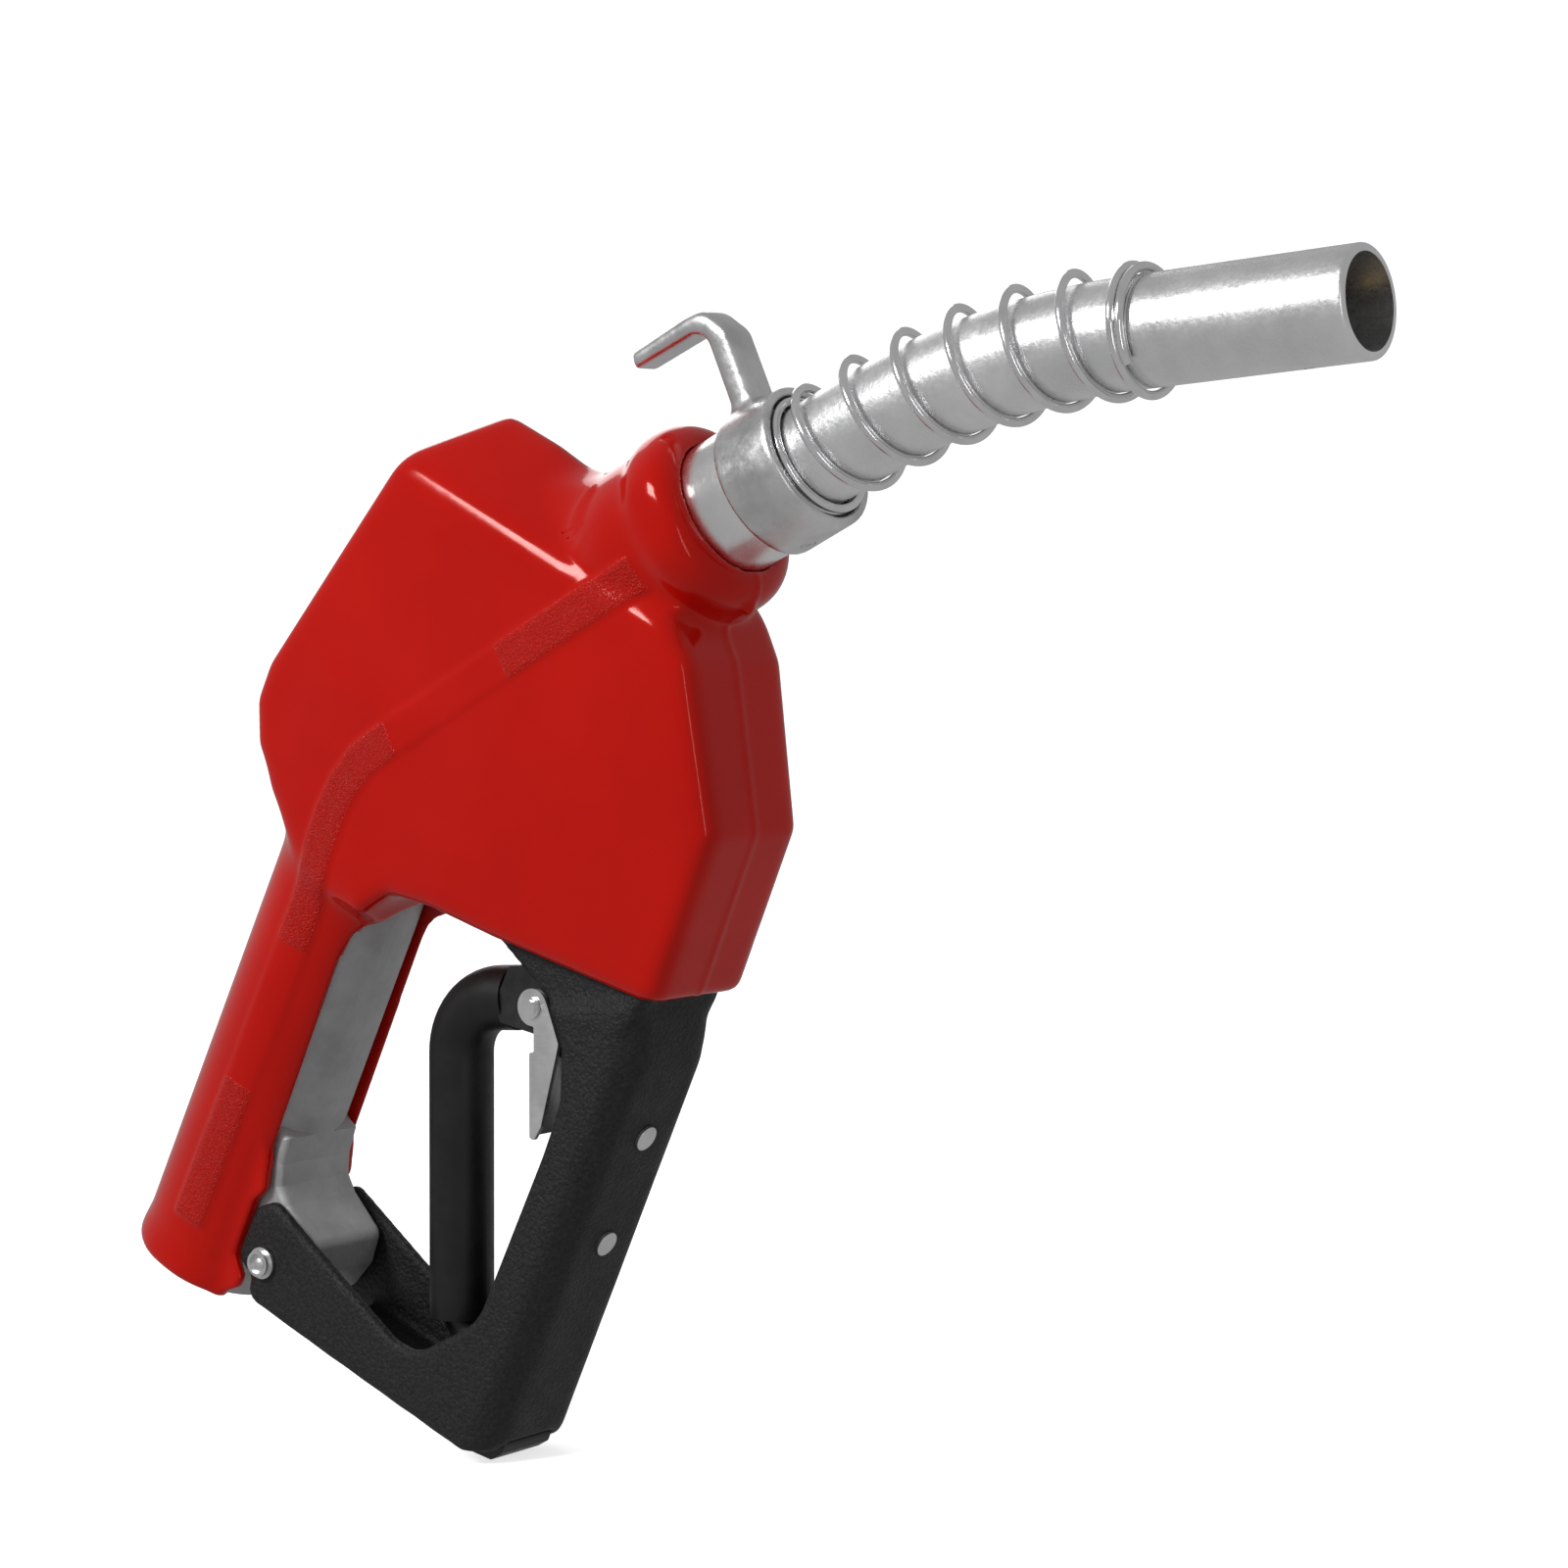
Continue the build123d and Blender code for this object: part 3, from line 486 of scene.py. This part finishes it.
def make_collar():
    # box round the collar and its hook, in distances along the neck and below its axis
    corners = [(NECK_POINT[0] + NECK_X * along + NECK_Z * below,
                NECK_POINT[1] + NECK_Z * along - NECK_X * below) for along in (-40, 0) for below in (-44, 19)]
    xs, zs = zip(*corners)
    g = Grid((min(xs), -19, min(zs)), (max(xs), 19, max(zs)), 0.55)
    along, below, radius = neck_coordinates(g.x, g.y, g.z)
    wall = radius - COLLAR_R + COLLAR_DRAFT * (along - COLLAR_BACK)
    ring = meet(wall, np.abs(along - COLLAR_MIDDLE) - COLLAR_HALF, 0.9)
    hook = polygon(below, along, HOOK)
    draft = HOOK_DRAFT * np.maximum(hook + 4, 0)
    arm = meet(hook - 0.1, np.abs(g.y) - HOOK_HALF + draft, 2.4)
    bore = union(radius - SPOUT_ROOM_R, overlap(radius - SPRING_ROOM_R, SPRING_ROOM_BACK - along))
    screw = overlap(np.hypot(g.y, along - SET_SCREW_AT) - SET_SCREW_R, 8 - below)
    field = overlap(join(ring, arm, 3.0), -bore, -screw)
    return carve("hook_collar_casting", soften(field, 0.4, g), g)


# ---- materials ----
def material(name):
    """New material, its node tree and its shader node."""
    mat = bpy.data.materials.new(name)
    mat.use_nodes = True
    tree = mat.node_tree
    shader = tree.nodes["Principled BSDF"]
    return mat, tree, shader


def noise(tree, scale, detail=3.0, rough=0.55, stretch=None):
    """Noise over object space; stretch is a rotation and a scale of that space."""
    where = tree.nodes.new("ShaderNodeTexCoord")
    source = where.outputs["Object"]
    if stretch:
        mapping = tree.nodes.new("ShaderNodeMapping")
        mapping.inputs["Rotation"].default_value = stretch[0]
        mapping.inputs["Scale"].default_value = stretch[1]
        tree.links.new(source, mapping.inputs["Vector"])
        source = mapping.outputs["Vector"]
    node = tree.nodes.new("ShaderNodeTexNoise")
    node.inputs["Scale"].default_value = scale
    node.inputs["Detail"].default_value = detail
    node.inputs["Roughness"].default_value = rough
    tree.links.new(source, node.inputs["Vector"])
    return node.outputs["Fac"]


def levels(tree, value, low, high, out_low=0.0, out_high=1.0):
    """Value stretched from low..high to out_low..out_high."""
    node = tree.nodes.new("ShaderNodeMapRange")
    node.inputs["From Min"].default_value = low
    node.inputs["From Max"].default_value = high
    node.inputs["To Min"].default_value = out_low
    node.inputs["To Max"].default_value = out_high
    tree.links.new(value, node.inputs["Value"])
    return node.outputs["Result"]


def combine(tree, kind, a, b):
    """Math node of a kind on two values, each a number or a socket."""
    node = tree.nodes.new("ShaderNodeMath")
    node.operation = kind
    for socket, value in zip(node.inputs, (a, b)):
        if isinstance(value, (int, float)):
            socket.default_value = value
        else:
            tree.links.new(value, socket)
    return node.outputs["Value"]


def two_tone(tree, fac, a, b):
    """Colour between a and b."""
    node = tree.nodes.new("ShaderNodeMix")
    node.data_type = "RGBA"
    node.inputs["A"].default_value = (*a, 1)
    node.inputs["B"].default_value = (*b, 1)
    tree.links.new(fac, node.inputs["Factor"])
    return node.outputs["Result"]


def bump(tree, height, strength, distance, before=None):
    """Normal of a relief, laid over an earlier one if given."""
    node = tree.nodes.new("ShaderNodeBump")
    node.inputs["Strength"].default_value = strength
    node.inputs["Distance"].default_value = distance
    tree.links.new(height, node.inputs["Height"])
    if before is not None:
        tree.links.new(before, node.inputs["Normal"])
    return node.outputs["Normal"]


def red_vinyl():
    """Glossy soft vinyl with a slight orange peel, and coarse grain where the mesh asks for it."""
    mat, tree, shader = material("red_vinyl")
    link = tree.links.new
    mask = tree.nodes.new("ShaderNodeAttribute")
    mask.attribute_name = "grain"
    grain = mask.outputs["Fac"]
    tone = levels(tree, noise(tree, 26, 3), 0.35, 0.7)
    link(two_tone(tree, tone, (0.47, 0.003, 0.0005), (0.53, 0.0045, 0.0007)), shader.inputs["Base Color"])
    sheen = levels(tree, noise(tree, 60, 4), 0.3, 0.7, 0.1, 0.16)
    dulled = combine(tree, "ADD", sheen, combine(tree, "MULTIPLY", grain, 0.16))
    link(dulled, shader.inputs["Roughness"])
    peel = bump(tree, noise(tree, 220, 2, 0.4), 0.12, 0.00025)
    coarse = combine(tree, "MULTIPLY", levels(tree, noise(tree, 2100, 2, 0.55), 0.38, 0.64), grain)
    link(bump(tree, coarse, 0.8, 0.0003, peel), shader.inputs["Normal"])
    shader.inputs["Specular IOR Level"].default_value = 0.4
    shader.inputs["Specular Tint"].default_value = (1, 0.5, 0.46, 1)
    return mat


def black_plastic():
    """Moulded plastic with a pebbled surface."""
    mat, tree, shader = material("black_pebble_plastic")
    link = tree.links.new
    speck = noise(tree, 1050, 3, 0.6)
    tone = levels(tree, speck, 0.4, 0.75)
    link(two_tone(tree, tone, (0.008, 0.008, 0.0083), (0.022, 0.022, 0.0225)), shader.inputs["Base Color"])
    link(levels(tree, noise(tree, 160, 3), 0.3, 0.7, 0.42, 0.56), shader.inputs["Roughness"])
    pebble = levels(tree, speck, 0.35, 0.65)
    link(bump(tree, pebble, 0.55, 0.00035), shader.inputs["Normal"])
    shader.inputs["Specular IOR Level"].default_value = 0.3
    return mat


def sleeve_rubber():
    """Smooth soft black sleeve."""
    mat, tree, shader = material("black_sleeve")
    link = tree.links.new
    tone = levels(tree, noise(tree, 90, 4), 0.3, 0.7)
    link(two_tone(tree, tone, (0.005, 0.005, 0.0053), (0.01, 0.01, 0.0103)), shader.inputs["Base Color"])
    link(levels(tree, noise(tree, 240, 4), 0.3, 0.7, 0.36, 0.5), shader.inputs["Roughness"])
    link(bump(tree, noise(tree, 900, 3), 0.1, 0.00012), shader.inputs["Normal"])
    shader.inputs["Specular IOR Level"].default_value = 0.35
    return mat


def metal(name, color, rough, fine=900, depth=0.0001, strength=0.3, blotch=60, contrast=0.12, streak=None,
          metallic=1.0):
    """Metal with a fine surface, soft blotches in tone and polish, and optional streaks."""
    mat, tree, shader = material(name)
    link = tree.links.new
    shader.inputs["Metallic"].default_value = metallic
    blotches = levels(tree, noise(tree, blotch, 5, 0.6), 0.3, 0.7)
    dark = tuple(v * (1 - contrast) for v in color)
    light = tuple(min(1.0, v * (1 + contrast * 0.5)) for v in color)
    link(two_tone(tree, blotches, dark, light), shader.inputs["Base Color"])
    surface = noise(tree, fine, 4, 0.65, streak)
    polish = combine(tree, "ADD", levels(tree, surface, 0.3, 0.7, -0.06, 0.06),
                     levels(tree, blotches, 0, 1, *rough))
    link(polish, shader.inputs["Roughness"])
    link(bump(tree, surface, strength, depth), shader.inputs["Normal"])
    return mat


def plastic(name, color, rough):
    """Plain plastic or rubber, a little mottled."""
    mat, tree, shader = material(name)
    link = tree.links.new
    tone = levels(tree, noise(tree, 120, 3), 0.3, 0.7)
    link(two_tone(tree, tone, tuple(v * 0.86 for v in color), color), shader.inputs["Base Color"])
    link(levels(tree, noise(tree, 500, 3), 0.3, 0.7, rough - 0.06, rough + 0.06), shader.inputs["Roughness"])
    link(bump(tree, noise(tree, 900, 3), 0.15, 0.0001), shader.inputs["Normal"])
    return mat


# fine marks drawn out round the neck's axis, and along a rolled sheet
TURNED = ((0, math.radians(-20.5), 0), (14.0, 1.0, 1.0))
ROLLED = ((0, 0.6, 0), (1.0, 1.0, 9.0))
MATERIALS = {
    "casting": metal("grey_casting", (0.46, 0.463, 0.466), (0.5, 0.62), fine=700, depth=0.00022, strength=0.5,
                     blotch=130, contrast=0.18, metallic=0.5),
    "red_vinyl": red_vinyl(),
    "black_plastic": black_plastic(),
    "black_sleeve": sleeve_rubber(),
    "dark_steel": metal("black_steel", (0.05, 0.05, 0.052), (0.34, 0.46), fine=800, blotch=150, contrast=0.3,
                        metallic=0.8),
    "spout_aluminium": metal("spout_satin", (0.9, 0.9, 0.905), (0.26, 0.36), depth=0.00014, strength=0.5,
                             blotch=70),
    "bushing_aluminium": metal("bushing_polished", (0.9, 0.9, 0.905), (0.18, 0.28), fine=500, depth=0.00006,
                               strength=0.25, blotch=90, contrast=0.08, streak=TURNED),
    "collar_casting": metal("collar_cast", (0.74, 0.74, 0.745), (0.24, 0.38), fine=520, depth=0.0002,
                            strength=0.35, blotch=85, contrast=0.22),
    "bright_steel": metal("bright_wire", (0.84, 0.84, 0.85), (0.1, 0.2), fine=600, depth=0.00005,
                          strength=0.2, blotch=120, contrast=0.1),
    "stamped_steel": metal("zinc_sheet", (0.74, 0.74, 0.745), (0.28, 0.42), fine=420, depth=0.00008,
                           blotch=110, streak=ROLLED),
    "brass": metal("machined_brass", (0.72, 0.5, 0.2), (0.2, 0.32), fine=500, depth=0.00006, blotch=90,
                   contrast=0.15),
    "seal_rubber": plastic("seal_rubber", (0.018, 0.018, 0.019), 0.5),
    "acetal": plastic("white_acetal", (0.72, 0.71, 0.67), 0.4),
}

for subpart in frame["record"]["subparts"]:
    obj = frame["nodes"][subpart["node"]]
    if not obj.data.materials:
        obj.data.materials.append(None)
    for i in range(len(obj.data.materials)):
        obj.data.materials[i] = MATERIALS[subpart["material_slot"]]


def finish_piece(obj, body, slot, *nodes):
    """Carved piece with its material, riding on a body in place of CAD nodes."""
    obj.data.materials.append(MATERIALS[slot])
    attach(obj, body)
    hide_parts(*nodes)


finish_piece(make_cover(), "body", "red_vinyl", "grip_cover")
finish_piece(make_guard(), "body", "black_plastic", "guard")
finish_piece(make_collar(), "body", "collar_casting", "hook_collar")


# ---- studio ----
YAW, PITCH, ROLL = math.radians(36.6), math.radians(1.0), math.radians(4.0)
CAMERA_AT = Vector((0.7025, -0.6947, 0.1261))
LENS, SENSOR = 89.1, 36.0
AIM = Vector((0.15, 0, 0.1))
RIGHT = Vector((math.cos(YAW), math.sin(YAW), 0))

# the backdrop's floor runs from behind the camera, bends and rises into a wall; distances along the view
FLOOR_Z = CAD_BOX[0][2] - 0.0005
FLOOR_START, WALL_AT, WALL_TOP = -3.5, 1.5, 2.2
BEND_R, BEND_STEPS, BACKDROP_HALF = 0.9, 16, 4.0


def make_backdrop():
    """Pale floor that curves up into a wall behind the nozzle."""
    bend_at = WALL_AT - BEND_R
    profile = [(FLOOR_START, 0.0), (bend_at, 0.0)]
    for i in range(1, BEND_STEPS + 1):
        a = math.pi / 2 * i / BEND_STEPS
        profile.append((bend_at + BEND_R * math.sin(a), BEND_R * (1 - math.cos(a))))
    profile.append((WALL_AT, WALL_TOP))
    forward = Vector((-math.sin(YAW), math.cos(YAW), 0))
    start = Vector((AIM.x, AIM.y, FLOOR_Z))
    verts = [start + forward * d + RIGHT * side + Vector((0, 0, h))
             for d, h in profile for side in (-BACKDROP_HALF, BACKDROP_HALF)]
    faces = [(2 * i, 2 * i + 1, 2 * i + 3, 2 * i + 2) for i in range(len(profile) - 1)]
    mesh = bpy.data.meshes.new("backdrop")
    mesh.from_pydata(verts, [], faces)
    for p in mesh.polygons:
        p.use_smooth = True
    mat, tree, shader = material("backdrop_paper")
    tone = levels(tree, noise(tree, 3, 2), 0.3, 0.7)
    paper = two_tone(tree, tone, (0.86, 0.86, 0.865), (0.88, 0.88, 0.885))
    tree.links.new(paper, shader.inputs["Base Color"])
    shader.inputs["Roughness"].default_value = 0.55
    shader.inputs["Emission Color"].default_value = (1, 1, 1, 1)
    shader.inputs["Emission Strength"].default_value = 0.68
    mesh.materials.append(mat)
    obj = bpy.data.objects.new("backdrop", mesh)
    bpy.context.scene.collection.objects.link(obj)
    # it throws no light and no reflection on the nozzle; the world does that
    obj.visible_diffuse = obj.visible_glossy = False


def add_camera():
    """Camera turned by YAW, lowered by PITCH and leaning by ROLL."""
    ahead = Vector((-math.sin(YAW) * math.cos(PITCH), math.cos(YAW) * math.cos(PITCH), -math.sin(PITCH)))
    up = RIGHT.cross(ahead)
    lean_right = math.cos(ROLL) * RIGHT - math.sin(ROLL) * up
    lean_up = math.sin(ROLL) * RIGHT + math.cos(ROLL) * up
    data = bpy.data.cameras.new("camera")
    data.lens, data.sensor_width = LENS, SENSOR
    data.clip_start, data.clip_end = 0.02, 30
    obj = bpy.data.objects.new("camera", data)
    axes = Matrix((lean_right, lean_up, -ahead)).transposed().to_4x4()
    obj.matrix_world = Matrix.Translation(CAMERA_AT) @ axes
    bpy.context.scene.collection.objects.link(obj)
    bpy.context.scene.camera = obj


def add_light(name, at, width, height, power):
    """Soft box aimed at the nozzle."""
    data = bpy.data.lights.new(name, "AREA")
    data.shape = "RECTANGLE"
    data.size, data.size_y = width, height
    data.energy = power
    obj = bpy.data.objects.new(name, data)
    obj.location = at
    obj.rotation_euler = (AIM - Vector(at)).to_track_quat("-Z", "Y").to_euler()
    bpy.context.scene.collection.objects.link(obj)


def add_world(strength):
    world = bpy.data.worlds.new("studio")
    world.use_nodes = True
    back = world.node_tree.nodes["Background"]
    back.inputs["Color"].default_value = (1, 1, 1, 1)
    back.inputs["Strength"].default_value = strength
    bpy.context.scene.world = world


make_backdrop()
add_camera()
add_light("key", (-0.14, -0.88, 0.74), width=0.3, height=0.3, power=8)
add_light("strip", (0.95, -0.62, 0.15), width=0.06, height=0.6, power=0.8)
add_light("rear", (-0.5, 0.6, 0.6), width=0.5, height=0.5, power=1.2)
add_world(0.38)
bpy.context.scene.view_settings.view_transform = "Standard"
